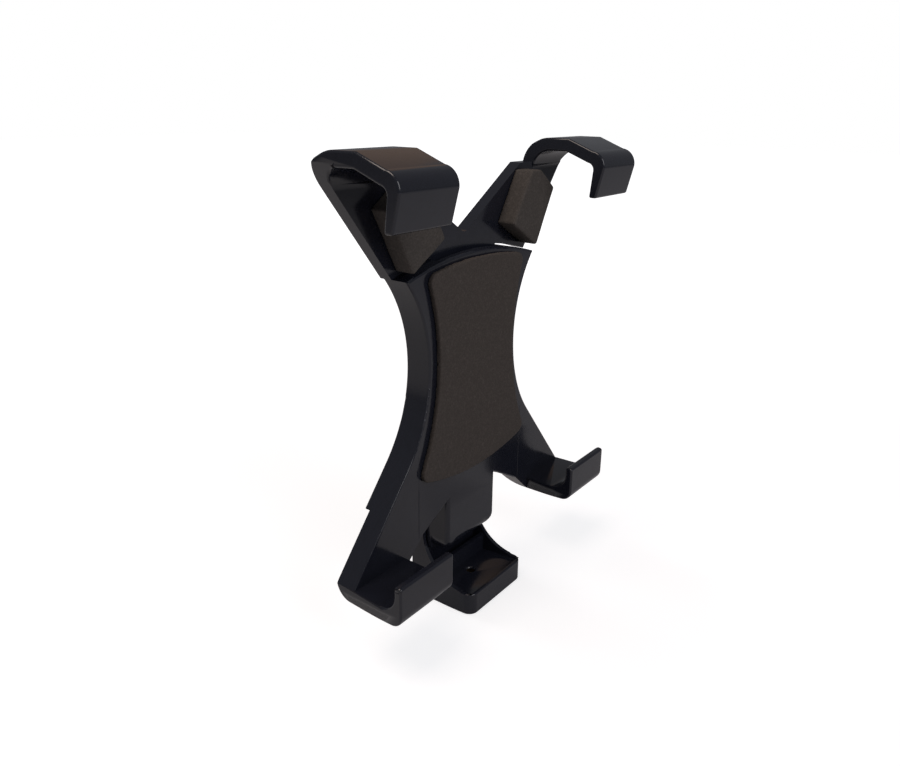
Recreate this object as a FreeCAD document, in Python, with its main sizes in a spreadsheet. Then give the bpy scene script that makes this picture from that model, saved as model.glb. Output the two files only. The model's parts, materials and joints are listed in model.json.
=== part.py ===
import FreeCAD
import Part
import math
import os

V = FreeCAD.Vector

doc = FreeCAD.newDocument("tablet_holder")

# Driving sizes, in millimetres
# X is to the right seen from the front, the front faces -Y and Z is up.
# The origin is the mouth of the tripod thread and the front face is the plane Y = 0.
SIZES = {
    # front shell outline
    "shell_top": 120.8,
    "shell_corner_x": 33.5,
    "shell_corner_z": 116.0,
    "waist_half": 23.2,
    "waist_z": 87.0,
    "shell_depth": 7.2,
    "wall": 2.0,
    "edge_round": 0.8,
    # lower hooks
    "hook_outer": 59.5,
    "hook_inner": 35.5,
    "hook_floor": 24.0,
    "hook_root": 2.5,
    "floor_thick": 4.2,
    "hook_reach": 19.2,
    "lip_thick": 2.7,
    "hook_bend": 6.0,
    "toe_round": 4.2,
    "lip_round": 0.9,
    "lower_lip_top": 37.4,
    "heel_x": 28.3,
    "heel_z": 30.8,
    "heel_round": 5.5,
    # tab
    "tab_half": 13.7,
    "tab_top": 38.8,
    "tab_bottom": 18.5,
    "chin_round": 5.0,
    # rear cover
    "cover_thick": 2.2,
    "cover_leg_z": 46.0,
    "cover_inner_x": 27.0,
    "cover_inner_z": 36.0,
    # sliding yoke
    "yoke_gap": 0.5,
    "arm_front": 5.0,
    "arm_thick": 4.2,
    "crotch_z": 125.6,
    "crotch_round": 2.5,
    "arm_inner_x": 31.0,
    "arm_step": 2.0,
    "arm_foot_x": 34.5,
    "yoke_outer": 61.8,
    "yoke_inner": 38.6,
    "yoke_top": 153.5,
    "yoke_reach": 22.2,
    "yoke_heel_round": 10.0,
    "yoke_corner_round": 6.6,
    "knee_reach": 8.5,
    "knee_drop": 3.5,
    "bend_back": 4.7,
    "arm_outer_drop": 3.1,
    "yoke_bend_z": 144.4,
    "upper_lip_bottom": 134.8,
    "lip_lean": 2.4,
    "fork_half": 17.0,
    "fork_inner": 11.5,
    "fork_thick": 4.0,
    "fork_bottom": 42.0,
    "fork_bar_z": 106.0,
    "fork_play": 0.3,
    "ear_half": 19.0,
    "ear_tall": 5.0,
    "travel": 60.0,
    # springs
    "spring_x": 7.0,
    "spring_low_z": 50.0,
    "spring_high_z": 111.0,
    "spring_radius": 1.7,
    "wire": 0.8,
    "spring_pitch": 6.0,
    "pin_radius": 1.0,
    "pin_half": 10.4,
    "pin_block": 3.2,
    "loop_slot": 2.6,
    "fit_gap": 0.03,
    # pads
    "pad_thick": 1.8,
    "pad_margin": 3.2,
    "pad_top": 119.0,
    "pad_corner_x": 25.5,
    "pad_corner_z": 116.6,
    "pad_bottom": 47.4,
    "pad_foot_z": 52.0,
    "pad_foot_x": 29.2,
    "pad_round": 3.0,
    "foam_low_x": 18.0,
    "foam_low_z": 126.8,
    "foam_foot_x": 32.5,
    "foam_gap": 1.8,
    "foam_out_back": 19.2,
    "foam_out_z": 137.0,
    "foam_top_back": 28.0,
    "foam_top_z": 143.4,
    "foam_peak_back": 33.8,
    "foam_round": 0.6,
    # tripod foot
    "foot_half": 15.5,
    "foot_front": 11.8,
    "foot_back": 14.0,
    "foot_floor": 6.0,
    "foot_rim": 7.8,
    "foot_wall": 1.4,
    "foot_tall": 44.0,
    "cheek_round": 17.6,
    "foot_corner": 3.5,
    "sill_y": 4.6,
    "sill_z": 12.3,
    "insert_radius": 5.0,
    "insert_tall": 5.0,
    "thread_radius": 2.6,
    "floor_hole": 1.5,
    # screws
    "screw_radius": 1.4,
    "screw_reach": 6.0,
    "screw_head": 2.7,
    "head_tall": 1.8,
    "boss_radius": 2.8,
    "cover_screw_z": 98.0,
    "leg_screw_x": 28.0,
    "leg_screw_z": 54.0,
    "foot_screw_x": 8.0,
    "foot_screw_z": 31.0,
}

sheet = doc.addObject("Spreadsheet::Sheet", "sizes")
for row, (alias, value) in enumerate(SIZES.items(), start=1):
    sheet.set(f"A{row}", alias)
    sheet.set(f"B{row}", str(value))
    sheet.setAlias(f"B{row}", alias)
doc.recompute()


def size(alias):
    return float(sheet.get(alias))


# Outlines: a list of corners and arcs in the two axes of a sketch plane
def line(a, b):
    return Part.LineSegment(V(*a, 0), V(*b, 0))


def arc(a, middle, b):
    return Part.Arc(V(*a, 0), V(*middle, 0), V(*b, 0))


def polygon(corners):
    return [line(a, b) for a, b in zip(corners, corners[1:] + corners[:1])]


def mirrored(curves):
    """Both halves of an outline that is drawn for X >= 0, from its first point to its last."""
    half = [c.copy() for c in curves]
    for curve in half:
        curve.mirror(V(0, 0, 0), V(0, 1, 0))
    return curves + half


def box_outline(low_u, high_u, low_v, high_v):
    return polygon([(low_u, low_v), (high_u, low_v), (high_u, high_v), (low_u, high_v)])


def inset(curves, distance):
    """The outline drawn inwards by a wall."""
    wire = Part.Wire(Part.__sortEdges__([c.toShape() for c in curves]))
    ring = wire.makeOffset2D(-distance)
    curves_inside = []
    for edge in ring.Edges:
        ends = [v.Point for v in edge.Vertexes]
        if isinstance(edge.Curve, Part.Line):
            curves_inside.append(Part.LineSegment(ends[0], ends[1]))
        else:
            middle = edge.valueAt((edge.FirstParameter + edge.LastParameter) / 2)
            curves_inside.append(Part.Arc(ends[0], middle, ends[1]))
    return curves_inside


# Solid features
PLANE_ROLES = {"front": "XZ_Plane", "side": "YZ_Plane", "top": "XY_Plane"}


def new_body(label):
    body = doc.addObject("PartDesign::Body", label)
    body.Label = label
    return body


def settle(feature):
    """Work the feature out, and stop if it failed."""
    doc.recompute()
    if {"Invalid", "Error"} & set(feature.State):
        raise RuntimeError(feature.Name + " failed")


def extrude(body, name, plane, curves, start, length, cut=False):
    """A pad or pocket from start, along +Y, +X or +Z, for the front, side or top plane."""
    sketch = body.newObject("Sketcher::SketchObject", name + "_outline")
    support = [o for o in body.Origin.OriginFeatures if o.Role == PLANE_ROLES[plane]][0]
    sketch.AttachmentSupport = (support, "")
    sketch.MapMode = "FlatFace"
    sign = "-1" if plane == "front" else "1"
    sketch.setExpression("AttachmentOffset.Base.z", f"{sign} * ({start})")
    sketch.addGeometry(curves, False)
    kind = "PartDesign::Pocket" if cut else "PartDesign::Pad"
    before = body.Shape.Volume if cut else 0
    feature = body.newObject(kind, name)
    feature.Profile = sketch
    feature.setExpression("Length", length)
    feature.Reversed = (plane == "front") != cut
    settle(feature)
    if cut and body.Shape.Volume > before - 1e-6:
        raise RuntimeError(name + " cuts nothing")
    return feature


def round_edges(body, name, radius, choose):
    """A fillet on every edge of the body that the test picks."""
    tip = body.Tip
    picked = [f"Edge{i}" for i, e in enumerate(tip.Shape.Edges, start=1) if choose(e)]
    feature = body.newObject("PartDesign::Fillet", name)
    feature.Base = (tip, picked)
    feature.setExpression("Radius", radius)
    settle(feature)
    return feature


def lies_at(edge, axis, value):
    return all(abs(getattr(v.Point, axis) - value) < 1e-4 for v in edge.Vertexes)


def runs_along(edge, axis):
    box = edge.BoundBox
    spans = {"x": box.XLength, "y": box.YLength, "z": box.ZLength}
    return all((spans[a] > 0.05) == (a == axis) for a in spans)


# Front shell outline, from the top of the arc to the bottom of the tab
TOP = (0, size("shell_top"))
CORNER = (size("shell_corner_x"), size("shell_corner_z"))
corner_drop = CORNER[1] - size("waist_z")
corner_out = CORNER[0] - size("waist_half")
WAIST_RADIUS = (corner_drop ** 2 + corner_out ** 2) / (2 * corner_out)
WAIST_CENTRE = (size("waist_half") + WAIST_RADIUS, size("waist_z"))
HOOK_CORNER = (size("hook_outer"), size("hook_floor") + size("hook_root"))
corner_run = HOOK_CORNER[0] - WAIST_CENTRE[0]
corner_fall = HOOK_CORNER[1] - WAIST_CENTRE[1]
# The leg's edge leaves the waist as a tangent that ends on the hook's outer corner
LEAN = math.atan2(corner_fall, corner_run) + math.acos(-WAIST_RADIUS / math.hypot(corner_run, corner_fall))
LEG_TOP = (
    WAIST_CENTRE[0] - WAIST_RADIUS * math.cos(LEAN),
    WAIST_CENTRE[1] - WAIST_RADIUS * math.sin(LEAN),
)


def leg_x(z):
    """The outer edge of a leg at a height."""
    return LEG_TOP[0] + (LEG_TOP[1] - z) * math.tan(LEAN)


TOP_RADIUS = (CORNER[0] ** 2 + (TOP[1] - CORNER[1]) ** 2) / (2 * (TOP[1] - CORNER[1]))


def top_arc(x, rise=0.0):
    """The height of the shell's top edge, or of a line above it."""
    radius = TOP_RADIUS + rise
    return TOP[1] + rise - radius + math.sqrt(radius ** 2 - x ** 2)


def upper_sides():
    """Top arc and waist of the right half, as far as the straight leg."""
    half = CORNER[0] / 2
    waist = (size("waist_half"), size("waist_z"))
    return [arc(TOP, (half, top_arc(half)), CORNER), arc(CORNER, waist, LEG_TOP)]


def shell_outline():
    outer = size("hook_outer")
    inner = size("hook_inner")
    tab = size("tab_half")
    corners = [
        LEG_TOP,
        HOOK_CORNER,
        (outer, size("hook_floor")),
        (inner, size("hook_floor")),
        (size("heel_x"), size("heel_z")),
        (tab, size("tab_top")),
        (tab, size("tab_bottom")),
        (0, size("tab_bottom")),
    ]
    return mirrored(upper_sides() + [line(a, b) for a, b in zip(corners, corners[1:])])


def cover_outline():
    tab = size("tab_half")
    corners = [
        LEG_TOP,
        (leg_x(size("cover_leg_z")), size("cover_leg_z")),
        (size("cover_inner_x"), size("cover_inner_z")),
        (tab, size("tab_top")),
        (tab, size("tab_bottom")),
        (0, size("tab_bottom")),
    ]
    return mirrored(upper_sides() + [line(a, b) for a, b in zip(corners, corners[1:])])


COVER_SCREWS = [
    (0, size("cover_screw_z")),
    (-size("leg_screw_x"), size("leg_screw_z")),
    (size("leg_screw_x"), size("leg_screw_z")),
]
FOOT_SCREWS = [(side * size("foot_screw_x"), size("foot_screw_z")) for side in (-1, 1)]


def discs(places, radius):
    return [Part.Circle(V(x, z, 0), V(0, 0, 1), radius) for x, z in places]


def lower_hook():
    """Side profile of a lower hook: floor, lip and the rounds between them."""
    low = size("hook_floor")
    floor = low + size("floor_thick")
    tip = -size("hook_reach")
    inside = tip + size("lip_thick")
    depth = size("shell_depth")
    bend = size("hook_bend")
    root = floor + bend
    toe = size("toe_round")
    s = math.sqrt(0.5)
    return [
        line((depth, low), (tip + toe, low)),
        arc((tip + toe, low), (tip + toe - toe * s, low + toe - toe * s), (tip, low + toe)),
        line((tip, low + toe), (tip, size("lower_lip_top"))),
        line((tip, size("lower_lip_top")), (inside, size("lower_lip_top"))),
        line((inside, size("lower_lip_top")), (inside, root)),
        arc((inside, root), (inside + bend - bend * s, root - bend * s), (inside + bend, floor)),
        line((inside + bend, floor), (depth, floor)),
        line((depth, floor), (depth, low)),
    ]


def build_front_shell():
    body = new_body("front_shell")
    extrude(body, "face", "front", shell_outline(), "0", "sizes.shell_depth")
    for name, start in (("left_hook", "-sizes.hook_outer"), ("right_hook", "sizes.hook_inner")):
        extrude(body, name, "side", lower_hook(), start, "sizes.hook_outer - sizes.hook_inner")
    low = size("hook_floor")
    depth = size("shell_depth")
    round_edges(body, "heels", "sizes.heel_round",
                lambda e: lies_at(e, "z", low) and lies_at(e, "y", depth))
    tab_low = size("tab_bottom")
    tab = size("tab_half")
    round_edges(body, "chin", "sizes.chin_round",
                lambda e: lies_at(e, "y", 0) and (lies_at(e, "z", tab_low) or lies_at(e, "x", tab)
                                                  or lies_at(e, "x", -tab)))
    round_edges(body, "face_edges", "sizes.edge_round",
                lambda e: lies_at(e, "y", 0) and e.BoundBox.ZMin > size("tab_top"))
    lip_top = size("lower_lip_top")
    round_edges(body, "lip_edges", "sizes.lip_round", lambda e: lies_at(e, "z", lip_top))
    inside = inset(cover_outline(), size("wall"))
    extrude(body, "cavity", "front", inside, "sizes.wall", "sizes.shell_depth - sizes.wall", cut=True)
    mouth = size("fork_half") + size("fork_play")
    mouth_low = size("shell_corner_z") - 2 * size("wall")
    mouth_high = size("shell_top") + size("wall")
    extrude(body, "fork_mouth", "front", box_outline(-mouth, mouth, mouth_low, mouth_high),
            "sizes.shell_depth - sizes.fork_thick - 2 * sizes.fork_play",
            "sizes.fork_thick + 2 * sizes.fork_play", cut=True)
    extrude(body, "screw_bosses", "front", discs(COVER_SCREWS + FOOT_SCREWS, size("boss_radius")),
            "sizes.wall", "sizes.shell_depth - sizes.wall")
    rib_low = size("fork_bottom") + size("ear_tall") + size("travel") + size("fork_play")
    for side in (-1, 1):
        ends = sorted([side * mouth, side * (mouth + size("wall"))])
        extrude(body, f"stop_rib_{side + 2}", "front",
                box_outline(ends[0], ends[1], rib_low, top_arc(mouth + size("wall")) - size("wall") / 2),
                "sizes.wall", "sizes.shell_depth - sizes.wall")
    extrude(body, "screw_holes", "front", discs(COVER_SCREWS + FOOT_SCREWS, size("screw_radius")),
            "sizes.wall", "sizes.shell_depth - sizes.wall", cut=True)
    pin_z = size("spring_low_z")
    block = size("pin_block")
    reach = size("pin_half") + size("edge_round") / 2
    extrude(body, "pin_block", "front", box_outline(-reach, reach, pin_z - block, pin_z + block),
            "sizes.wall", "sizes.shell_depth - sizes.wall")
    for side in (-1, 1):
        slot = side * size("spring_x")
        extrude(body, f"loop_slot_{side + 2}", "front",
                box_outline(slot - size("loop_slot"), slot + size("loop_slot"), pin_z - block, pin_z + block),
                "sizes.wall", "sizes.shell_depth - sizes.wall", cut=True)
    middle = size("shell_depth") - size("fork_play") - size("fork_thick") / 2
    hole = [Part.Circle(V(middle, pin_z, 0), V(0, 0, 1), size("pin_radius") + size("fit_gap"))]
    extrude(body, "pin_hole", "side", hole, "-sizes.pin_half", "2 * sizes.pin_half", cut=True)
    return body


def build_rear_cover():
    body = new_body("rear_cover")
    extrude(body, "plate", "front", cover_outline(), "sizes.shell_depth", "sizes.cover_thick")
    extrude(body, "screw_holes", "front", discs(COVER_SCREWS + FOOT_SCREWS, size("screw_radius")),
            "sizes.shell_depth", "sizes.cover_thick", cut=True)
    back = size("shell_depth") + size("cover_thick")
    round_edges(body, "back_edges", "sizes.edge_round", lambda e: lies_at(e, "y", back)
                and not (isinstance(e.Curve, Part.Circle) and e.Curve.Radius < 2 * size("screw_radius")))
    return body


# Sliding yoke
YOKE_BACK = size("arm_front") + size("arm_thick")
CEILING = size("yoke_top") - size("arm_thick")
HOOK_ROOT = size("yoke_top") - size("yoke_heel_round")
ARM_FOOT = (size("arm_foot_x"), top_arc(size("arm_foot_x"), size("yoke_gap")))
ARM_END = (size("yoke_outer"), size("yoke_top") - size("arm_outer_drop"))
FORK_FRONT = size("shell_depth") - size("fork_play") - size("fork_thick")
FORK_MIDDLE = FORK_FRONT + size("fork_thick") / 2


def arms_outline():
    half = ARM_FOOT[0] / 2
    gap = size("yoke_gap")
    rise = (ARM_END[1] - ARM_FOOT[1]) / (ARM_END[0] - ARM_FOOT[0])
    corners = [
        (0, size("crotch_z")),
        (size("arm_inner_x"), HOOK_ROOT + size("arm_step")),
        (size("yoke_inner"), HOOK_ROOT + size("arm_step")),
        (size("yoke_inner"), HOOK_ROOT),
        (ARM_FOOT[0] + (HOOK_ROOT - ARM_FOOT[1]) / rise, HOOK_ROOT),
        ARM_FOOT,
    ]
    edges = [line(a, b) for a, b in zip(corners, corners[1:])]
    return mirrored(edges + [arc(ARM_FOOT, (half, top_arc(half, gap)), (0, top_arc(0, gap)))])


def upper_hook():
    """Side profile of an upper hook: heel, sloping roof and a lip that leans in."""
    top = size("yoke_top")
    thick = size("arm_thick")
    front = size("arm_front")
    heel = size("yoke_heel_round")
    tip = -size("yoke_reach")
    s = math.sqrt(0.5)
    knee = (-size("knee_reach"), top)
    shoulder = (tip + size("bend_back"), top - size("knee_drop"))
    bend = (tip, size("yoke_bend_z"))
    slope = math.atan2(knee[1] - shoulder[1], knee[0] - shoulder[0])
    knee_in = (knee[0] + thick * math.tan(slope / 2), CEILING)
    shoulder_in = (shoulder[0] + thick * math.sin(slope), shoulder[1] - thick * math.cos(slope))
    bend_in = (tip + thick, size("yoke_bend_z") - size("edge_round"))
    toe = (tip + size("lip_lean"), size("upper_lip_bottom"))
    toe_in = (toe[0] + size("lip_thick"), toe[1])
    middle = (shoulder[0] - size("bend_back") * s, bend[1] + (shoulder[1] - bend[1]) * s)
    run_in = shoulder_in[0] - bend_in[0]
    rise_in = shoulder_in[1] - bend_in[1]
    middle_in = (bend_in[0] + run_in * (1 - s), bend_in[1] + rise_in * s)
    inner = size("yoke_corner_round")
    root = (front, CEILING - inner)
    heel_x = YOKE_BACK - heel
    return [
        line((YOKE_BACK, root[1]), (YOKE_BACK, top - heel)),
        arc((YOKE_BACK, top - heel), (heel_x + heel * s, top - heel + heel * s), (heel_x, top)),
        line((heel_x, top), knee),
        line(knee, shoulder),
        arc(shoulder, middle, bend),
        line(bend, toe),
        line(toe, toe_in),
        line(toe_in, bend_in),
        arc(bend_in, middle_in, shoulder_in),
        line(shoulder_in, knee_in),
        line(knee_in, (front - inner, CEILING)),
        arc((front - inner, CEILING), (front - inner + inner * s, CEILING - inner + inner * s), root),
        line(root, (YOKE_BACK, root[1])),
    ]


def build_slider_yoke():
    body = new_body("slider_yoke")
    extrude(body, "arms", "front", arms_outline(), "sizes.arm_front", "sizes.arm_thick")
    for name, start in (("left_hook", "-sizes.yoke_outer"), ("right_hook", "sizes.yoke_inner")):
        extrude(body, name, "side", upper_hook(), start, "sizes.yoke_outer - sizes.yoke_inner")
    rise = (ARM_END[1] - ARM_FOOT[1]) / (ARM_END[0] - ARM_FOOT[0])
    past = ARM_END[0] + size("wall")
    trim_start = "sizes.arm_front + sizes.arm_thick - sizes.yoke_heel_round"
    for side in (-1, 1):
        trim = [ARM_FOOT, (past, ARM_END[1] + rise * size("wall")), (past, ARM_FOOT[1])]
        extrude(body, f"outer_trim_{side + 2}", "front", polygon([(side * x, z) for x, z in trim]),
                trim_start, "sizes.yoke_heel_round", cut=True)
    crotch = size("crotch_z")
    round_edges(body, "crotch_round", "sizes.crotch_round",
                lambda e: runs_along(e, "y") and lies_at(e, "z", crotch) and lies_at(e, "x", 0))
    half = size("fork_half")
    inner = size("fork_inner")
    low = size("fork_bottom")
    bar = size("fork_bar_z")
    shoulder = size("shell_corner_z")
    fork_start = "sizes.shell_depth - sizes.fork_play - sizes.fork_thick"
    neck = "sizes.shell_depth - sizes.fork_play - sizes.arm_front"
    neck_top = crotch - size("arm_thick") / 2
    slot_top = size("spring_high_z") + size("pin_block")
    extrude(body, "neck", "front", box_outline(-half, half, bar, neck_top), "sizes.arm_front", neck)
    extrude(body, "cross_bar", "front", box_outline(-half, half, bar, shoulder),
            fork_start, "sizes.fork_thick")
    for side in (-1, 1):
        rail = sorted([side * inner, side * half])
        ear = sorted([side * inner, side * size("ear_half")])
        extrude(body, f"rail_{side + 2}", "front", box_outline(rail[0], rail[1], low, bar),
                fork_start, "sizes.fork_thick")
        extrude(body, f"ear_{side + 2}", "front", box_outline(ear[0], ear[1], low, low + size("ear_tall")),
                fork_start, "sizes.fork_thick")
        slot = side * size("spring_x")
        extrude(body, f"loop_slot_{side + 2}", "front",
                box_outline(slot - size("loop_slot"), slot + size("loop_slot"), bar, slot_top),
                fork_start, "sizes.fork_thick", cut=True)
    bore = size("pin_radius") + size("fit_gap")
    hole = [Part.Circle(V(FORK_MIDDLE, size("spring_high_z"), 0), V(0, 0, 1), bore)]
    extrude(body, "pin_hole", "side", hole, "-sizes.pin_half", "2 * sizes.pin_half", cut=True)
    return body


# Springs and their pins
def build_pin(label, height):
    pin = doc.addObject("Part::Cylinder", label)
    pin.Label = label
    pin.setExpression("Radius", "sizes.pin_radius")
    pin.setExpression("Height", "2 * sizes.pin_half")
    start = V(-size("pin_half"), FORK_MIDDLE, height)
    pin.Placement = FreeCAD.Placement(start, FreeCAD.Rotation(V(0, 1, 0), 90))
    return pin


def build_spring(label, x):
    """Close-wound tension spring: a ridge for each turn, and a loop round the pin at each end."""
    wire = size("wire") / 2
    coil = size("spring_radius")
    loop = size("pin_radius") + 2 * size("fit_gap") + wire
    low = size("spring_low_z")
    high = size("spring_high_z")
    start = low + loop
    tall = high - loop - start
    turns = round(tall / size("spring_pitch"))
    ridges = []
    for turn in range(turns):
        foot = start + tall * turn / turns
        ridges += [V(coil, 0, foot), V(coil + wire, 0, foot + tall / turns / 2)]
    inside = coil - wire
    section = [V(inside, 0, start)] + ridges + [V(coil, 0, start + tall), V(inside, 0, start + tall)]
    turned = Part.Face(Part.makePolygon(section + section[:1]))
    pieces = []
    for end, step in ((low, 1), (high, -1)):
        eye = Part.makeCylinder(loop + wire, 2 * wire, V(-wire, 0, end), V(1, 0, 0))
        pieces.append(eye.cut(Part.makeCylinder(loop - wire, 2 * wire, V(-wire, 0, end), V(1, 0, 0))))
        leg_low = min(end + step * loop, end + step * (loop + 2 * wire))
        reach = coil - wire / 2
        pieces.append(Part.makeBox(2 * reach, 2 * wire, 2 * wire, V(-reach, -wire, leg_low)))
    sleeve = turned.revolve(V(0, 0, 0), V(0, 0, 1), 360)
    spring = doc.addObject("Part::Feature", label)
    spring.Label = label
    spring.Shape = sleeve.multiFuse(pieces).removeSplitter()
    spring.Placement = FreeCAD.Placement(V(x, FORK_MIDDLE, 0), FreeCAD.Rotation())
    return spring


# Pads
def build_centre_pad():
    body = new_body("centre_pad")
    top = (0, size("pad_top"))
    corner = (size("pad_corner_x"), size("pad_corner_z"))
    waist = (size("waist_half") - size("pad_margin"), size("waist_z"))
    foot = (size("pad_foot_x"), size("pad_foot_z"))
    bottom = (0, size("pad_bottom"))
    crown = (corner[0] / 2, top[1] - (top[1] - corner[1]) / 4)
    sag = (foot[0] / 2, bottom[1] + (foot[1] - bottom[1]) / 4)
    outline = mirrored([arc(top, crown, corner), arc(corner, waist, foot), arc(foot, sag, bottom)])
    extrude(body, "pad", "front", outline, "-sizes.pad_thick", "sizes.pad_thick")
    round_edges(body, "corners", "sizes.pad_round", lambda e: runs_along(e, "y") and abs(e.Vertexes[0].X) > 1)
    return body


def build_arm_pad(label, side):
    body = new_body(label)
    foot_x = size("foam_foot_x")
    corners = [
        (size("foam_low_x"), size("foam_low_z")),
        (foot_x, top_arc(foot_x, size("foam_gap"))),
        (size("yoke_outer") - size("foam_out_back"), size("foam_out_z")),
        (size("yoke_outer") - size("foam_top_back"), size("foam_top_z")),
        (size("yoke_outer") - size("foam_peak_back"), size("foam_top_z")),
    ]
    outline = polygon([(side * x, z) for x, z in corners])
    extrude(body, "block", "front", outline, "-sizes.pad_thick", "sizes.pad_thick + sizes.arm_front")
    front = -size("pad_thick")
    round_edges(body, "soft_edges", "sizes.foam_round",
                lambda e: lies_at(e, "y", front) or runs_along(e, "y"))
    return body


# Tripod foot
COVER_BACK = size("shell_depth") + size("cover_thick")


def build_tripod_foot():
    body = new_body("tripod_foot")
    half = size("foot_half")
    front = -size("foot_front")
    back = size("foot_back")
    rim = size("foot_rim")
    bend = size("cheek_round")
    wall = size("foot_wall")
    extrude(body, "tray", "top", box_outline(-half, half, front, back), "0", "sizes.foot_rim")
    round_edges(body, "front_corners", "sizes.foot_corner",
                lambda e: runs_along(e, "z") and lies_at(e, "y", front))
    extrude(body, "tray_hollow", "top", box_outline(wall - half, half - wall, front + wall, COVER_BACK),
            "sizes.foot_floor", "sizes.foot_rim - sizes.foot_floor", cut=True)
    seat = "sizes.shell_depth + sizes.cover_thick"
    upright = "sizes.foot_back - sizes.shell_depth - sizes.cover_thick"
    extrude(body, "upright", "front", box_outline(-half, half, 0, size("foot_tall")), seat, upright)
    centre = (COVER_BACK - bend, rim + bend)
    s = math.sqrt(0.5)
    cheek = [
        arc((centre[0], rim), (centre[0] + bend * s, centre[1] - bend * s), (COVER_BACK, centre[1])),
        line((COVER_BACK, centre[1]), (COVER_BACK, 0)),
        line((COVER_BACK, 0), (centre[0], 0)),
        line((centre[0], 0), (centre[0], rim)),
    ]
    for side, start in ((-1, "-sizes.foot_half"), (1, "sizes.foot_half - sizes.foot_wall")):
        extrude(body, f"cheek_{side + 2}", "side", cheek, start, "sizes.foot_wall")
    sill = size("sill_y")
    extrude(body, "sill", "top", box_outline(-half, half, sill, sill + wall), "0", "sizes.sill_z")
    tall = size("foot_tall")
    round_edges(body, "top_corners", "2 * sizes.foot_corner",
                lambda e: runs_along(e, "y") and lies_at(e, "z", tall))
    insert = [Part.Circle(V(0, 0, 0), V(0, 0, 1), size("insert_radius"))]
    extrude(body, "insert_seat", "top", insert, "0", "sizes.insert_tall", cut=True)
    hole = [Part.Circle(V(0, 0, 0), V(0, 0, 1), size("floor_hole"))]
    extrude(body, "floor_hole", "top", hole, "0", "sizes.foot_floor", cut=True)
    extrude(body, "screw_holes", "front", discs(FOOT_SCREWS, size("screw_radius")), seat, upright, cut=True)
    return body


def build_thread_insert():
    """Bush for the tripod screw, its bore at the thread's inner radius."""
    outside = doc.addObject("Part::Cylinder", "insert_outside")
    outside.setExpression("Radius", "sizes.insert_radius - sizes.fit_gap")
    outside.setExpression("Height", "sizes.insert_tall")
    bore = doc.addObject("Part::Cylinder", "insert_bore")
    bore.setExpression("Radius", "sizes.thread_radius")
    bore.setExpression("Height", "sizes.insert_tall")
    insert = doc.addObject("Part::Cut", "thread_insert")
    insert.Label = "thread_insert"
    insert.Base = outside
    insert.Tool = bore
    return insert


# Screws
def build_screws(label, places, seat):
    """Pan-head screws that point to the front, with their heads on the seat."""
    shank = size("screw_radius") - size("fit_gap")
    reach = seat - size("shell_depth") + size("screw_reach") - size("wall")
    screws = []
    for x, z in places:
        stem = Part.makeCylinder(shank, reach, V(x, seat, z), V(0, -1, 0))
        head = Part.makeCylinder(size("screw_head"), size("head_tall"), V(x, seat, z), V(0, 1, 0))
        rim = [e for e in head.Edges if lies_at(e, "y", seat + size("head_tall"))]
        head = head.makeChamfer(size("head_tall") / 3, rim)
        screws.append(stem.fuse(head).removeSplitter())
    group = doc.addObject("Part::Feature", label)
    group.Label = label
    group.Shape = Part.makeCompound(screws)
    return group


spring_x = size("spring_x")
SUB_PARTS = [
    build_front_shell(),
    build_rear_cover(),
    build_slider_yoke(),
    build_centre_pad(),
    build_arm_pad("left_arm_pad", -1),
    build_arm_pad("right_arm_pad", 1),
    build_tripod_foot(),
    build_thread_insert(),
    build_spring("left_spring", -spring_x),
    build_spring("right_spring", spring_x),
    build_pin("lower_spring_pin", size("spring_low_z")),
    build_pin("upper_spring_pin", size("spring_high_z")),
    build_screws("cover_screws", COVER_SCREWS, COVER_BACK),
    build_screws("foot_screws", FOOT_SCREWS, size("foot_back")),
]
doc.recompute()

# Nothing is written unless every object is sound
for item in doc.Objects:
    if {"Invalid", "Error"} & set(item.State):
        raise RuntimeError(item.Name + " failed")
for part in SUB_PARTS:
    if part.Shape.isNull() or not part.Shape.isValid():
        raise RuntimeError(part.Label + " has no sound shape")

os.makedirs("parts", exist_ok=True)
for part in SUB_PARTS:
    part.Shape.exportStep("parts/" + part.Label + ".step")
    box = part.Shape.BoundBox
    print(part.Label, len(part.Shape.Solids), "solids", round(part.Shape.Volume, 1), "mm3",
          [round(v, 1) for v in (box.XMin, box.XMax, box.YMin, box.YMax, box.ZMin, box.ZMax)])
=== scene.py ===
# %% [markdown]
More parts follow.
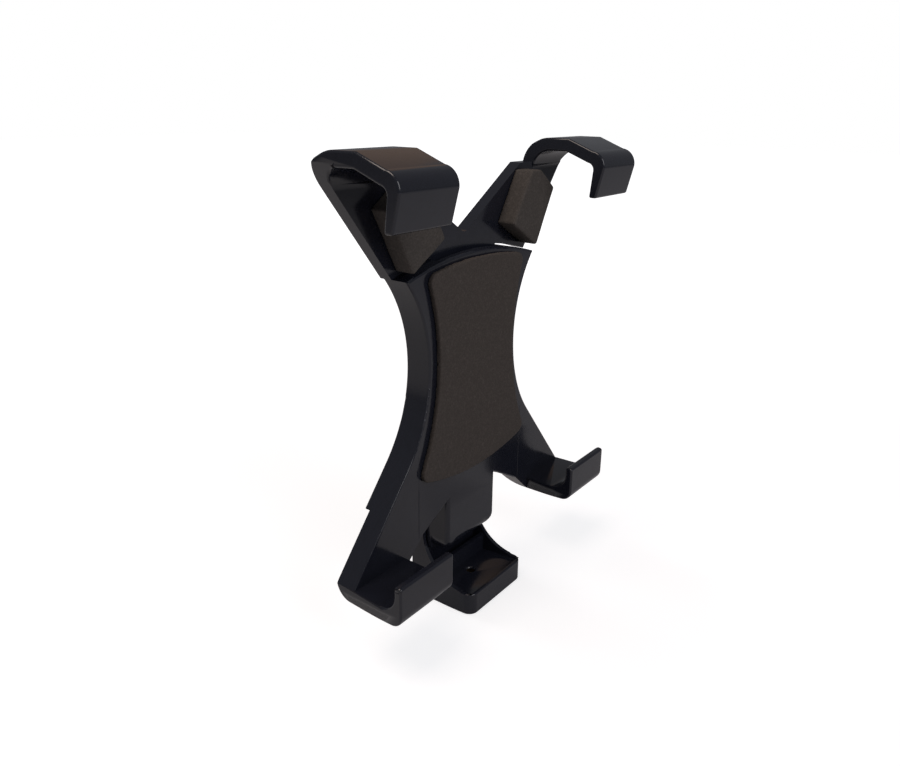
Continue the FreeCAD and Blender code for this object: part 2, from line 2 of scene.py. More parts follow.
# # A tablet holder with a spring-closed yoke
# This scene dresses the measured parts of a tablet holder: glossy black mouldings, a soft grip pad, two
# foam blocks and the small metal pieces. The frame is in metres, the front faces -Y and Z is up. We load
# the measured parts first.

# %% Load the measured parts
import bpy
import bmesh
import json
import math
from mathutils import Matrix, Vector


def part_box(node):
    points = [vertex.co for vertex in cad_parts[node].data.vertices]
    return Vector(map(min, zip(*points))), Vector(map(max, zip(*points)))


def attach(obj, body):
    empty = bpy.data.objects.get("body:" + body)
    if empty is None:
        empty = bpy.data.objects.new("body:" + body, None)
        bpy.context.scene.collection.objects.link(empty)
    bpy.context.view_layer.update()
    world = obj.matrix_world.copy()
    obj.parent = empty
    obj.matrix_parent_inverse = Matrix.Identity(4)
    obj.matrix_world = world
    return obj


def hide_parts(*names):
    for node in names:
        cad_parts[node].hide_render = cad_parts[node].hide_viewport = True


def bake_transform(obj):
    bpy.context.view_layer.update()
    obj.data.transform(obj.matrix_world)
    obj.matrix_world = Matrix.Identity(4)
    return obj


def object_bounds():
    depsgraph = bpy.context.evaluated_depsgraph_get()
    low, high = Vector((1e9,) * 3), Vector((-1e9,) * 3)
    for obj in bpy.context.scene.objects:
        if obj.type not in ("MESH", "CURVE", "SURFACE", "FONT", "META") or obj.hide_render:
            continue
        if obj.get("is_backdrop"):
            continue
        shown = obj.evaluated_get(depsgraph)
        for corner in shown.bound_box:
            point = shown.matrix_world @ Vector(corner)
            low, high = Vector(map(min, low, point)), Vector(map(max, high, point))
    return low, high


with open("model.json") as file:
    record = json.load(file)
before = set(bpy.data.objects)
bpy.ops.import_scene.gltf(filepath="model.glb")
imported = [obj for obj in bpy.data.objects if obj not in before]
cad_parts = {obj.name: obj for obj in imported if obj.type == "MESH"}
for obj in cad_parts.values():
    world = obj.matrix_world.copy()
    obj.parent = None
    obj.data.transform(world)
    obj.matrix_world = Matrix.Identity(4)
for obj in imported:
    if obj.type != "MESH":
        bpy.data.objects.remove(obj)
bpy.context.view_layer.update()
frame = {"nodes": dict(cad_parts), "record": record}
nodes = frame["nodes"]
scene = bpy.context.scene
MM = 0.001
print("loaded", len(nodes), "parts")

# %% [markdown]
# ## Helpers for materials
# Every material here is a small node tree, and a few helpers keep the trees readable. One adds a node and
# sets its values, another joins an output to an input. Two more start a material and a node group, which
# lets several materials share one effect. The last makes a ramp between a dark and a pale tone.

# %% Node helpers
def add(tree, kind, place=(0, 0), **values):
    made = tree.nodes.new(kind)
    made.location = place
    for name, value in values.items():
        if hasattr(made, name):
            setattr(made, name, value)
        else:
            made.inputs[name.replace("_", " ")].default_value = value
    return made


def join(tree, source, target):
    tree.links.new(source, target)


def new_group(name, outputs):
    group = bpy.data.node_groups.new(name, "ShaderNodeTree")
    for label, kind in outputs:
        group.interface.new_socket(label, in_out="OUTPUT", socket_type=kind)
    return group, add(group, "NodeGroupOutput", (600, 0))


def new_material(name):
    material = bpy.data.materials.new(name)
    material.use_nodes = True
    return material, material.node_tree, material.node_tree.nodes["Principled BSDF"]


def tone_ramp(tree, place, dark, pale):
    ramp = add(tree, "ShaderNodeValToRGB", place)
    ramp.color_ramp.elements[0].color = (*dark, 1)
    ramp.color_ramp.elements[1].color = (*pale, 1)
    return ramp


print("helpers ready")

# %% [markdown]
# ## Shared surface effects
# Moulded plastic is never perfectly even: its gloss drifts a little across a face and the skin has a
# faint ripple. Foam has pits of several sizes. Each effect is a group that gives a value and a normal, so
# a material only has to plug them in.

# %% Surface groups
def skin_group():
    group, out = new_group("moulded_skin", [("Rough", "NodeSocketFloat"), ("Normal", "NodeSocketVector")])
    place = add(group, "ShaderNodeTexCoord", (-700, 0))
    drift = add(group, "ShaderNodeTexNoise", (-450, 150), Scale=45.0, Detail=3.0)
    ripple = add(group, "ShaderNodeTexNoise", (-450, -150), Scale=260.0, Detail=2.0)
    span = add(group, "ShaderNodeMapRange", (-150, 150), To_Min=0.10, To_Max=0.22)
    bump = add(group, "ShaderNodeBump", (-150, -150), Strength=0.06, Distance=0.0004)
    for texture in (drift, ripple):
        join(group, place.outputs["Object"], texture.inputs["Vector"])
    join(group, drift.outputs["Fac"], span.inputs["Value"])
    join(group, ripple.outputs["Fac"], bump.inputs["Height"])
    join(group, span.outputs["Result"], out.inputs["Rough"])
    join(group, bump.outputs["Normal"], out.inputs["Normal"])
    return group


def sponge_group():
    group, out = new_group("sponge", [("Pits", "NodeSocketFloat"), ("Normal", "NodeSocketVector")])
    place = add(group, "ShaderNodeTexCoord", (-700, 0))
    cells = add(group, "ShaderNodeTexVoronoi", (-450, 150), Scale=1800.0)
    grain = add(group, "ShaderNodeTexNoise", (-450, -150), Scale=900.0, Detail=4.0)
    both = add(group, "ShaderNodeMath", (-200, 0), operation="MULTIPLY")
    bump = add(group, "ShaderNodeBump", (50, -150), Strength=0.12, Distance=0.0003)
    for texture in (cells, grain):
        join(group, place.outputs["Object"], texture.inputs["Vector"])
    join(group, cells.outputs["Distance"], both.inputs[0])
    join(group, grain.outputs["Fac"], both.inputs[1])
    join(group, both.outputs["Value"], bump.inputs["Height"])
    join(group, both.outputs["Value"], out.inputs["Pits"])
    join(group, bump.outputs["Normal"], out.inputs["Normal"])
    return group


SKIN = skin_group()
SPONGE = sponge_group()
print("groups", SKIN.name, SPONGE.name)

# %% [markdown]
# ## Materials
# The plastic takes its look almost wholly from reflections, so its colour is near black and its roughness
# low. The pads are the opposite: brown-black, rough and pitted. The metal pieces are small and mostly
# hidden. Plastic and metal drift between two close tones of their colour, because no real surface has one
# even tone.

# %% Plastic, foam and metal
DARKER = 0.8
PALER = 1.2


def close_tones(colour):
    return [DARKER * c for c in colour], [PALER * c for c in colour]


def plastic(name, colour):
    material, tree, shader = new_material(name)
    skin = add(tree, "ShaderNodeGroup", (-600, 0), node_tree=SKIN)
    cloud = add(tree, "ShaderNodeTexNoise", (-600, 300), Scale=30.0)
    ramp = tone_ramp(tree, (-350, 300), *close_tones(colour))
    join(tree, cloud.outputs["Fac"], ramp.inputs["Fac"])
    join(tree, ramp.outputs["Color"], shader.inputs["Base Color"])
    join(tree, skin.outputs["Rough"], shader.inputs["Roughness"])
    join(tree, skin.outputs["Normal"], shader.inputs["Normal"])
    return material


def foam(name, dark, pale):
    material, tree, shader = new_material(name)
    sponge = add(tree, "ShaderNodeGroup", (-600, 0), node_tree=SPONGE)
    ramp = tone_ramp(tree, (-350, 200), dark, pale)
    join(tree, sponge.outputs["Pits"], ramp.inputs["Fac"])
    join(tree, ramp.outputs["Color"], shader.inputs["Base Color"])
    join(tree, sponge.outputs["Normal"], shader.inputs["Normal"])
    shader.inputs["Roughness"].default_value = 0.85
    shader.inputs["Specular IOR Level"].default_value = 0.25
    return material


def metal(name, colour, roughness):
    material, tree, shader = new_material(name)
    place = add(tree, "ShaderNodeTexCoord", (-900, 0))
    streak = add(tree, "ShaderNodeTexNoise", (-650, 0), Scale=600.0, Detail=5.0)
    span = add(tree, "ShaderNodeMapRange", (-350, 0), To_Min=0.7 * roughness, To_Max=1.4 * roughness)
    ramp = tone_ramp(tree, (-350, 300), *close_tones(colour))
    join(tree, place.outputs["Object"], streak.inputs["Vector"])
    join(tree, streak.outputs["Fac"], span.inputs["Value"])
    join(tree, streak.outputs["Fac"], ramp.inputs["Fac"])
    join(tree, span.outputs["Result"], shader.inputs["Roughness"])
    join(tree, ramp.outputs["Color"], shader.inputs["Base Color"])
    shader.inputs["Metallic"].default_value = 1.0
    return material


BLACK = plastic("black_plastic", (0.0095, 0.0105, 0.0165))
GRIP = foam("grip_rubber", (0.040, 0.033, 0.029), (0.084, 0.070, 0.063))
FOAM = foam("arm_foam", (0.042, 0.036, 0.032), (0.092, 0.080, 0.073))
BRASS = metal("insert_brass", (0.30, 0.22, 0.12), 0.4)
STEEL = metal("spring_steel", (0.55, 0.55, 0.56), 0.25)
SCREW = metal("screw_steel", (0.08, 0.08, 0.085), 0.35)
FINISH = {
    "front_shell": BLACK,
    "rear_cover": BLACK,
    "slider_yoke": BLACK,
    "tripod_foot": BLACK,
    "centre_pad": GRIP,
    "left_arm_pad": FOAM,
    "right_arm_pad": FOAM,
    "thread_insert": BRASS,
    "left_spring": STEEL,
    "right_spring": STEEL,
    "lower_spring_pin": STEEL,
    "upper_spring_pin": STEEL,
    "cover_screws": SCREW,
    "foot_screws": SCREW,
}
for name, material in FINISH.items():
    nodes[name].data.materials.clear()
    nodes[name].data.materials.append(material)
print("materials", sorted({m.name for m in FINISH.values()}))

# %% [markdown]
# ## Helpers for shapes
# New shapes are built in a bmesh, an open mesh that Python can edit freely, and then turned into an
# object. A measured part is copied in the same way: its doubled corners are joined and its flat faces
# merged, so that only the real edges are left. Of its sharp edges, those that a rule picks get a bevel
# weight, and the others stay sharp in the shading.

# %% Shape helpers
BODIES = frame["record"]["behaviour"]["bodies"]
BODY_OF = {node: body for body, group in BODIES.items() for node in group}
SHARP = math.radians(30)
FLAT = math.radians(0.5)
SAME_PLACE = 0.005 * MM


def as_object(name, work):
    bmesh.ops.recalc_face_normals(work, faces=work.faces)
    mesh = bpy.data.meshes.new(name)
    work.to_mesh(mesh)
    work.free()
    made = bpy.data.objects.new(name, mesh)
    scene.collection.objects.link(made)
    return made


def clean_copy(name, choose=None, adjust=None):
    """A copy of a measured part with joined corners, its chosen sharp edges marked for the bevel."""
    work = bmesh.new()
    work.from_mesh(nodes[name].data)
    bmesh.ops.remove_doubles(work, verts=work.verts, dist=SAME_PLACE)
    bmesh.ops.dissolve_limit(work, angle_limit=FLAT, verts=work.verts, edges=work.edges)
    if adjust:
        adjust(work)
    weight = work.edges.layers.float.new("bevel_weight_edge")
    for edge in work.edges:
        sharp = edge.calc_face_angle(0.0) > SHARP
        rounded = sharp and choose is not None and all(choose(*(v.co / MM)) for v in edge.verts)
        edge[weight] = 1.0 if rounded else 0.0
        edge.smooth = rounded or not sharp
    mesh = bpy.data.meshes.new(name + "_skin")
    work.to_mesh(mesh)
    work.free()
    if "custom_normal" in mesh.attributes:
        mesh.attributes.remove(mesh.attributes["custom_normal"])
    for face in mesh.polygons:
        face.use_smooth = True
    mesh.materials.clear()
    mesh.materials.append(FINISH[name])
    piece = bpy.data.objects.new(name + "_skin", mesh)
    scene.collection.objects.link(piece)
    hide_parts(name)
    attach(piece, BODY_OF[name])
    return piece


# %% [markdown]
# ## The tab and the hooks of the front shell
# The front shell needs three touches before its edges are rounded. The lower corners of its tab become
# ball corners: they are cut in a fan, and the squares round the corner's middle are drawn into circles.
# Above them the rounds of the tab's sides are made tight. The outer side of each lower hook leans in
# towards the back, so that it runs into the leg without a step. The values are millimetres on the
# measured shell.

# %% Shapes of the tab and the hooks
TAB_HALF = 13.7  # half of the tab's width
TAB_FOOT = 18.5  # height of the tab's lower edge
TAB_ROUND = 5.0  # radius of the tab's corners and of the measured rounds on its front
TAB_REACH = 20.0  # faces nearer to the middle than this
TAB_TOP = 45.0  # and lower than this belong to the tab
FAN = 8  # steps of the fan in a quarter turn
SIDE_ROUND = 1.6  # the tight radius of the tab's sides
SIDE_LIFT = 0.1  # a cut this far above the corners keeps the sides apart from them
CROTCH_Z = 38.8  # height at which the tab's side meets the leg
LEG_SLOPE = 0.549  # rise of that meeting line for each millimetre towards the middle
LEG_ROUND = 0.9  # radius of the leg's front edge
HOOK_SIDE = 59.5  # the hook's outer side, from the middle
LEG_SIDE = 58.1  # the leg's outer side, from the middle
HOOK_FRONT = -19.2  # the lean starts at this depth
HOOK_BACK = 7.04  # and ends at this one
CUT_SLACK = 0.001  # a corner this near to a cut counts as on it
CLOSE = 0.01  # two sizes nearer than this count as equal
ON_ROUND = 0.05  # a corner this near to a round lies on it
NEAR = 0.1  # a corner may lie this far off the tab's own sizes
QUARTER = math.radians(90)


def ease(share):
    """Turns an even share from 0 to 1 into one that starts and ends slowly."""
    return share * share * (3 - 2 * share)


def cut_tab(work, place, normal):
    """Cuts the faces of the tab, and only those, along a plane."""
    faces = [
        face for face in work.faces
        if all(abs(v.co.x) < TAB_REACH * MM and v.co.z < TAB_TOP * MM for v in face.verts)
    ]
    edges = {edge for face in faces for edge in face.edges}
    corners = {v for face in faces for v in face.verts}
    geometry = [*faces, *edges, *corners]
    bmesh.ops.bisect_plane(work, geom=geometry, dist=CUT_SLACK * MM, plane_co=place, plane_no=normal)


def shape_tab(work):
    """Rounds the tab's lower corners about axes from front to back, and tightens the rounds of its sides."""
    middle_x = TAB_HALF - TAB_ROUND
    middle_z = TAB_FOOT + TAB_ROUND
    cut_tab(work, (0, 0, (middle_z + SIDE_LIFT) * MM), (0, 0, 1))
    for side in (-1, 1):
        for step in range(FAN + 1):
            angle = QUARTER * step / FAN
            place = (side * middle_x * MM, 0, middle_z * MM)
            cut_tab(work, place, (side * math.sin(angle), 0, math.cos(angle)))
    for vertex in work.verts:
        x, y, z = vertex.co / MM
        out = abs(x) - middle_x
        down = max(0.0, middle_z - z)
        ring = max(out, down)
        inside = -CLOSE < out < TAB_ROUND + NEAR and down < TAB_ROUND + NEAR and z < TAB_TOP
        at_middle = ring < CLOSE and z < middle_z + SIDE_LIFT / 2
        if not inside or at_middle:
            continue
        angle = math.atan2(down, max(0.0, out))
        on_round = abs(math.hypot(ring, TAB_ROUND - y) - TAB_ROUND) < ON_ROUND
        if y < TAB_ROUND + CLOSE and on_round:
            radius = SIDE_ROUND + (TAB_ROUND - SIDE_ROUND) * ease(angle / QUARTER)
            turn = math.atan2(ring, TAB_ROUND - y)
            ring = TAB_ROUND - radius + radius * math.sin(turn)
            y = radius - radius * math.cos(turn)
        elif not down:
            continue
        new_x = middle_x + ring * math.cos(angle)
        if down:
            z = middle_z - ring * math.sin(angle)
        elif z > CROTCH_Z - NEAR:
            inner = max(0.0, LEG_ROUND - y)
            drop = LEG_ROUND - math.sqrt(LEG_ROUND ** 2 - inner ** 2)
            z = CROTCH_Z + (TAB_HALF - new_x) * LEG_SLOPE + drop
        vertex.co = Vector((math.copysign(new_x, x), y, z)) * MM


def shape_shell(work):
    """Leans the hook sides in until they meet the legs, then shapes the tab."""
    for vertex in work.verts:
        if abs(abs(vertex.co.x) / MM - HOOK_SIDE) < CLOSE:
            share = (vertex.co.y / MM - HOOK_FRONT) / (HOOK_BACK - HOOK_FRONT)
            vertex.co.x -= math.copysign((HOOK_SIDE - LEG_SIDE) * share * MM, vertex.co.x)
    shape_tab(work)


print("tab", 2 * TAB_HALF, "mm wide, sides rounded by", SIDE_ROUND, "mm")

# %% [markdown]
# ## Soft edges on the mouldings
# A moulded edge is never razor sharp: its small round catches the light as a bright line, and that line
# is most of what we see of black plastic. A bevel could round every edge, but thin inner ribs would tear,
# so each moulding has one width and a rule that picks the edges that show. The rear cover keeps its edges
# as they are. Weighted normals keep the big faces flat.

# %% Bevelled mouldings
EDGE_STEPS = 4
FACE_WEIGHT = 80
HOOK_EDGES_Y = -0.9  # the shell's picked edges lie in front of this depth, in millimetres
ARM_EDGES_Y = 4.9  # the yoke's lie in front of this depth
ARM_EDGES_Z = 130  # and above this height
TRAY_EDGES_Y = 3  # the foot's lie in front of this depth
TRAY_EDGES_Z = 8  # and below this height


def soft_moulding(name, width, choose, adjust):
    piece = clean_copy(name, choose, adjust)
    bevel = piece.modifiers.new("soft_edges", "BEVEL")
    bevel.width = width * MM
    bevel.segments = EDGE_STEPS
    bevel.limit_method = "WEIGHT"
    bevel.use_clamp_overlap = False
    normals = piece.modifiers.new("flat_faces", "WEIGHTED_NORMAL")
    normals.weight = FACE_WEIGHT
    normals.keep_sharp = True
    return piece


MOULDINGS = [
    ("front_shell", 0.7, lambda x, y, z: y < HOOK_EDGES_Y, shape_shell),
    ("rear_cover", 0.3, None, None),
    ("slider_yoke", 0.7, lambda x, y, z: y < ARM_EDGES_Y and z > ARM_EDGES_Z, None),
    ("tripod_foot", 0.5, lambda x, y, z: y < TRAY_EDGES_Y and z < TRAY_EDGES_Z, None),
]
for name, width, choose, adjust in MOULDINGS:
    piece = soft_moulding(name, width, choose, adjust)
    print("moulding", piece.name, len(piece.data.polygons), "faces")

# %% [markdown]
# ## Parting creases
# A fine upright line runs down each leg, where two faces of the mould meet. It is only a low ridge, but
# the gloss shows it, so it is modelled as a thin strip with a triangular section that sinks into the
# face.

# %% Crease strips
CREASE_X = 28.6
CREASE_LOW = 32.0
CREASE_HIGH = 60.0
CREASE_HALF = 0.16
CREASE_SUNK = 0.05
CREASE_PROUD = 0.09


def crease(name, x):
    work = bmesh.new()
    section = [(x - CREASE_HALF, CREASE_SUNK), (x, -CREASE_PROUD), (x + CREASE_HALF, CREASE_SUNK)]
    ends = []
    for z in (CREASE_LOW, CREASE_HIGH):
        ends.append([work.verts.new((u * MM, y * MM, z * MM)) for u, y in section])
    for j in range(len(section)):
        work.faces.new((ends[0][j], ends[0][j - 1], ends[1][j - 1], ends[1][j]))
    work.faces.new(ends[0])
    work.faces.new(reversed(ends[1]))
    strip = as_object(name, work)
    strip.data.materials.append(BLACK)
    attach(strip, "holder")
    print("crease", name)


crease("left_crease", -CREASE_X)
crease("right_crease", CREASE_X)

# %% [markdown]
# ## Soft pads
# The grip pad and the two blocks are foam, so they should look a little swollen, with edges that fade
# away and a surface that is not quite flat. A voxel remesh gives even small faces, a smooth modifier
# melts the edges and a weak displacement adds the slow waves of a cut foam sheet.

# %% Pads of foam
VOXEL = 0.4
WAVE_SIZE = 9
WAVE_HEIGHT = 0.25
MELT_ROUNDS = {"centre_pad": 4, "left_arm_pad": 6, "right_arm_pad": 6}
waves = bpy.data.textures.new("foam_waves", "CLOUDS")
waves.noise_scale = WAVE_SIZE * MM


def soft_pad(name, rounds):
    piece = clean_copy(name)
    grid = piece.modifiers.new("even_faces", "REMESH")
    grid.mode = "VOXEL"
    grid.voxel_size = VOXEL * MM
    grid.use_smooth_shade = True
    smooth = piece.modifiers.new("melt_edges", "SMOOTH")
    smooth.factor = 0.5
    smooth.iterations = rounds
    swell = piece.modifiers.new("slow_waves", "DISPLACE")
    swell.texture = waves
    swell.strength = WAVE_HEIGHT * MM
    swell.mid_level = 0.5
    return piece


for name, rounds in MELT_ROUNDS.items():
    print("pad", soft_pad(name, rounds).name)

# %% [markdown]
# ## Springs
# When the yoke is pulled up, two tension springs show between its rails. Each one is a single wire: a
# loop round the lower pin, a close coil, and a loop round the upper pin. The wire is a tube swept along
# that path.

# %% Wound springs
COIL = 1.7  # radius of the coil, in millimetres
LOOP = 1.46  # radius of the two end loops
WIRE = 0.4  # radius of the wire
WIRE_SIDES = 8
SPRING_Y = 4.9  # depth of both springs
LOW_PIN = 50.0  # height of the lower pin
HIGH_PIN = 111.0  # height of the upper pin at rest
TURNS = 52
TURN_STEPS = 14
LOOP_STEPS = 16
LOOP_DEGREES = 18


def spring_path():
    """Points of one wire round the Z axis, in millimetres."""
    first = LOW_PIN + LOOP + 2 * WIRE
    last = HIGH_PIN - LOOP - 2 * WIRE
    path = []
    for k in range(-LOOP_STEPS, 1):
        turn = math.radians(LOOP_DEGREES * k)
        path.append(Vector((0, LOOP * math.sin(turn), LOW_PIN + LOOP * math.cos(turn))))
    for k in range(TURNS * TURN_STEPS + 1):
        turn = math.tau * k / TURN_STEPS
        height = first + (last - first) * k / (TURNS * TURN_STEPS)
        path.append(Vector((COIL * math.cos(turn), COIL * math.sin(turn), height)))
    for k in range(LOOP_STEPS + 1):
        turn = math.radians(LOOP_DEGREES * k)
        path.append(Vector((0, LOOP * math.sin(turn), HIGH_PIN - LOOP * math.cos(turn))))
    return path


def swept_wire(name, path, radius):
    """A tube along the path, its section carried from point to point without a twist."""
    work = bmesh.new()
    turns = [math.tau * j / WIRE_SIDES for j in range(WIRE_SIDES)]
    ahead = (path[1] - path[0]).normalized()
    side = ahead.orthogonal().normalized()
    rings = []
    for k, point in enumerate(path):
        nearby = path[min(k + 1, len(path) - 1)] - path[max(k - 1, 0)]
        ahead = nearby.normalized()
        side = (side - ahead * side.dot(ahead)).normalized()
        up = ahead.cross(side)
        spokes = [math.cos(turn) * side + math.sin(turn) * up for turn in turns]
        rings.append([work.verts.new(point + radius * spoke) for spoke in spokes])
    for low, high in zip(rings, rings[1:]):
        for j in range(WIRE_SIDES):
            face = work.faces.new((low[j], low[j - 1], high[j - 1], high[j]))
            face.smooth = True
    work.faces.new(rings[0])
    work.faces.new(reversed(rings[-1]))
    return as_object(name, work)


for node in ("left_spring", "right_spring"):
    low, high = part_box(node)
    middle = (low[0] + high[0]) / 2
    path = [point * MM + Vector((middle, SPRING_Y * MM, 0)) for point in spring_path()]
    spring = swept_wire(node + "_wire", path, WIRE * MM)
    spring.data.materials.append(STEEL)
    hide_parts(node)
    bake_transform(spring)
    print("spring", spring.name, len(spring.data.polygons), "faces")

# %% [markdown]
# ## Screws
# The back shows five small pan-head screws. A screw is a turned profile, given as pairs of radius and
# height: a low dome, a rounded rim, a flat seat and a plain shank. The cross slot is cut with a boolean,
# which keeps the slot walls crisp, and all screws share the same recipe.

# %% Cross-head screws
DOME = [(0.0, 1.8), (1.0, 1.75), (1.8, 1.55), (2.4, 1.1)]
RIM = [(2.68, 0.45), (2.68, 0.0)]
SHANK = [(1.36, 0.0), (1.36, -4.0), (0.0, -4.6)]
SCREW_PROFILE = DOME + RIM + SHANK
SCREW_SIDES = 32
SLOT_HALF_LONG = 1.5
SLOT_HALF_WIDE = 0.3
SLOT_MIDDLE = 1.8
COVER_SEAT = 9.4
COVER_PLACES = [(0, 98), (-28, 54), (28, 54)]
FOOT_SEAT = 14.0
FOOT_PLACES = [(-8, 31), (8, 31)]


def turned_screw(work, x, y, z):
    """Adds one screw to the mesh, its head towards +Y."""
    rings = []
    for radius, height in SCREW_PROFILE:
        ring = []
        for j in range(SCREW_SIDES if radius else 1):
            turn = math.tau * j / SCREW_SIDES
            place = (x + radius * math.cos(turn), y + height, z + radius * math.sin(turn))
            ring.append(work.verts.new([value * MM for value in place]))
        rings.append(ring)
    for top, low in zip(rings, rings[1:]):
        for j in range(SCREW_SIDES):
            above = [top[j % len(top)], top[(j - 1) % len(top)]]
            below = [low[(j - 1) % len(low)], low[j % len(low)]]
            work.faces.new(list(dict.fromkeys(above + below)))


def cross_cutter(work, x, y, z):
    """Adds two crossed blocks that reach into a head."""
    for wide, tall in ((SLOT_HALF_LONG, SLOT_HALF_WIDE), (SLOT_HALF_WIDE, SLOT_HALF_LONG)):
        made = bmesh.ops.create_cube(work, size=2.0)
        for vert in made["verts"]:
            place = (x + wide * vert.co.x, y + SLOT_MIDDLE + vert.co.y, z + tall * vert.co.z)
            vert.co = [value * MM for value in place]


def cross_screws(node, places, seat):
    solid = bmesh.new()
    blocks = bmesh.new()
    for x, z in places:
        turned_screw(solid, x, seat, z)
        cross_cutter(blocks, x, seat, z)
    piece = as_object(node + "_cut", solid)
    cutter = as_object(node + "_slots", blocks)
    slots = piece.modifiers.new("slots", "BOOLEAN")
    slots.operation = "DIFFERENCE"
    slots.object = cutter
    slots.use_self = True
    graph = bpy.context.evaluated_depsgraph_get()
    shape = bpy.data.meshes.new_from_object(piece.evaluated_get(graph))
    piece.modifiers.clear()
    piece.data = shape
    bpy.data.objects.remove(cutter)
    piece.data.materials.append(SCREW)
    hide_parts(node)
    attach(piece, BODY_OF[node])
    print("screws", piece.name, len(piece.data.polygons), "faces")


cross_screws("cover_screws", COVER_PLACES, COVER_SEAT)
cross_screws("foot_screws", FOOT_PLACES, FOOT_SEAT)

# %% [markdown]
# ## Floor and sky
# The picture has a plain white ground. The floor and the sky are white to the camera, while to
# reflections they are softer, so that the black plastic keeps its depth. Near the foot the floor glows a
# little less and the lamps make up the rest, so that a faint shadow stays. Farther out the glow alone is
# white.

# %% Floor and sky
FLOOR_SIZE = 6
FLOOR_GREY = (0.55, 0.55, 0.57, 1)
SKY_BLUE = (0.92, 0.94, 1.0, 1)
WHITE = (1, 1, 1, 1)


def white_to_camera(tree, seen, other):
    path = add(tree, "ShaderNodeLightPath", (-600, 300))
    mix = add(tree, "ShaderNodeMixShader", (0, 0))
    either = add(tree, "ShaderNodeMath", (-300, 300), operation="MAXIMUM")
    join(tree, path.outputs["Is Camera Ray"], either.inputs[0])
    join(tree, path.outputs["Is Transmission Ray"], either.inputs[1])
    join(tree, either.outputs["Value"], mix.inputs["Fac"])
    join(tree, other.outputs[0], mix.inputs[1])
    join(tree, seen.outputs[0], mix.inputs[2])
    return mix


bpy.ops.mesh.primitive_plane_add(size=FLOOR_SIZE)
floor = bpy.context.object
floor.name = "floor"
floor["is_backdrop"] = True
material, tree, shader = new_material("floor_white")
tree.nodes.remove(shader)
place = add(tree, "ShaderNodeTexCoord", (-1200, 100))
reach = add(tree, "ShaderNodeVectorMath", (-1000, 100), operation="LENGTH")
level = add(tree, "ShaderNodeMapRange", (-800, 100), interpolation_type="SMOOTHSTEP",
            From_Min=0.2, From_Max=0.7, To_Min=0.66, To_Max=1.0)
glow = add(tree, "ShaderNodeEmission", (-600, 100))
matt = add(tree, "ShaderNodeBsdfDiffuse", (-600, -100), Color=FLOOR_GREY)
lit = add(tree, "ShaderNodeAddShader", (-300, 100))
join(tree, place.outputs["Object"], reach.inputs[0])
join(tree, reach.outputs["Value"], level.inputs["Value"])
join(tree, level.outputs["Result"], glow.inputs["Strength"])
join(tree, glow.outputs[0], lit.inputs[0])
join(tree, matt.outputs[0], lit.inputs[1])
mix = white_to_camera(tree, lit, matt)
join(tree, mix.outputs[0], tree.nodes["Material Output"].inputs["Surface"])
floor.data.materials.append(material)

world = bpy.data.worlds.new("sky")
world.use_nodes = True
scene.world = world
tree = world.node_tree
seen = tree.nodes["Background"]
seen.inputs["Color"].default_value = WHITE
other = add(tree, "ShaderNodeBackground", (-300, -200), Color=SKY_BLUE, Strength=0.185)
mix = white_to_camera(tree, seen, other)
join(tree, mix.outputs[0], tree.nodes["World Output"].inputs["Surface"])
print("ground", floor.name, "and", world.name)

# %% [markdown]
# ## Lamps
# Two large soft lamps draw the main highlights, and a third lights the floor behind the holder without
# being mirrored in it. A warm card, which the camera does not see, is mirrored in the top of an upper
# hook.

# %% Lamps and warm card
MIDDLE = (0, 0, 0.075)
FLOOR_BEHIND = (0.12, 0.60, 0.0)
CARD_SIZE = 0.62
CARD_PLACE = (0.68, 0.72, 0.74)
CARD_COLOUR = (1.0, 0.72, 0.56, 1)


def lamp(name, place, target, width, power, colour, mirrored=True):
    data = bpy.data.lights.new(name, "AREA")
    data.energy = power
    data.color = colour
    data.size = width
    made = bpy.data.objects.new(name, data)
    made.location = place
    made.rotation_euler = (Vector(target) - Vector(place)).to_track_quat("-Z", "Y").to_euler()
    made.visible_glossy = mirrored
    scene.collection.objects.link(made)


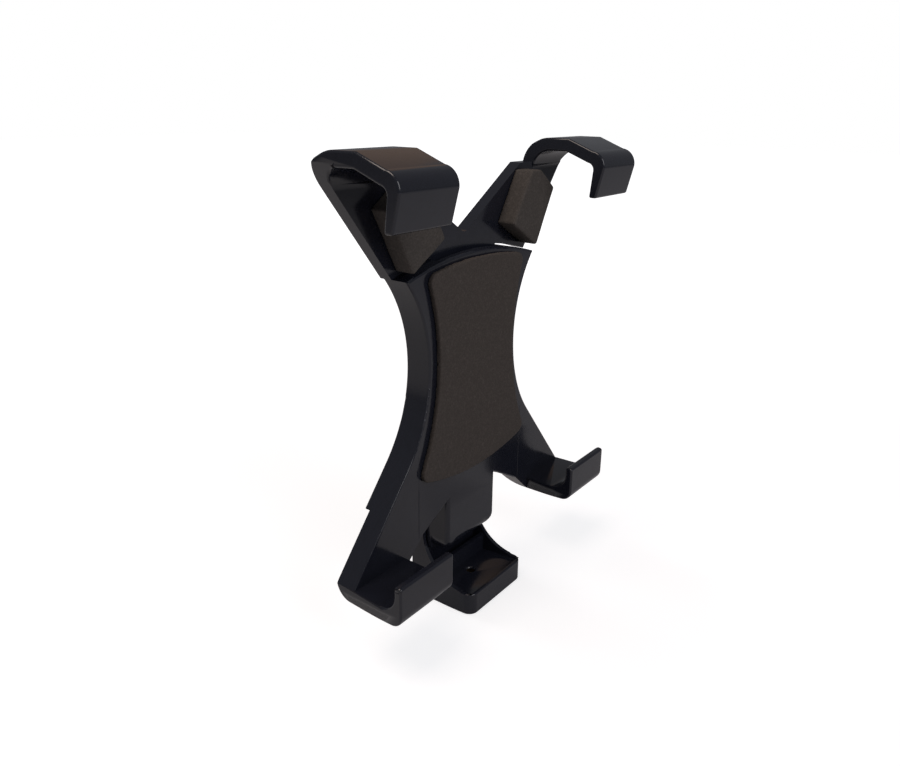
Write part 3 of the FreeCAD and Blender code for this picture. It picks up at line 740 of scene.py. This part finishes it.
lamp("key", (-0.35, 0.1, 0.9), MIDDLE, width=0.5, power=3.6, colour=(1.0, 0.86, 0.76))
lamp("fill", (-0.12, -0.85, 0.60), MIDDLE, width=0.6, power=3.8, colour=(0.99, 0.98, 1.0))
lamp("back_bounce", (-0.05, 1.10, 0.65), FLOOR_BEHIND, width=0.4, power=3.6, colour=(1.0, 0.99, 0.97),
     mirrored=False)

bpy.ops.mesh.primitive_plane_add(size=CARD_SIZE, location=CARD_PLACE)
card = bpy.context.object
card.name = "warm_card"
card.rotation_euler = (Vector(MIDDLE) - card.location).to_track_quat("Z", "Y").to_euler()
card.visible_camera = False
card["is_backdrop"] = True
material, tree, shader = new_material("card_brown")
tree.nodes.remove(shader)
glow = add(tree, "ShaderNodeEmission", (-300, 0), Color=CARD_COLOUR, Strength=0.26)
join(tree, glow.outputs[0], tree.nodes["Material Output"].inputs["Surface"])
card.data.materials.append(material)
scene.view_settings.view_transform = "Standard"
print("studio ready")

# %% [markdown]
# ## Camera
# The camera stands to the left of the holder, a little above it and close, so the near hooks look larger
# than the far ones. Its place was worked out from the corners that the picture shows.

# %% Camera
CAMERA_PLACE = (-0.1987, -0.1422, 0.1653)
yaw = math.radians(53.17)
pitch = math.radians(18.06)
roll = math.radians(0.8)
data = bpy.data.cameras.new("camera")
data.sensor_width = 36.0
data.lens = 31.56
data.shift_x = -0.0097
data.shift_y = -0.0291
data.clip_start = 0.01
camera = bpy.data.objects.new("camera", data)
direction = Vector((math.sin(yaw) * math.cos(pitch), math.cos(yaw) * math.cos(pitch), -math.sin(pitch)))
camera.matrix_world = direction.to_track_quat("-Z", "Y").to_matrix().to_4x4()
camera.location = CAMERA_PLACE
camera.rotation_euler.rotate_axis("Z", roll)
scene.collection.objects.link(camera)
scene.camera = camera
print("camera at", [round(v, 3) for v in camera.location])

# %% [markdown]
# ## Measure the visible object
# The box round every piece that shows is measured at the end; the floor and the warm card are left out
# of it.

# %% Measure the visible object
low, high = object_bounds()
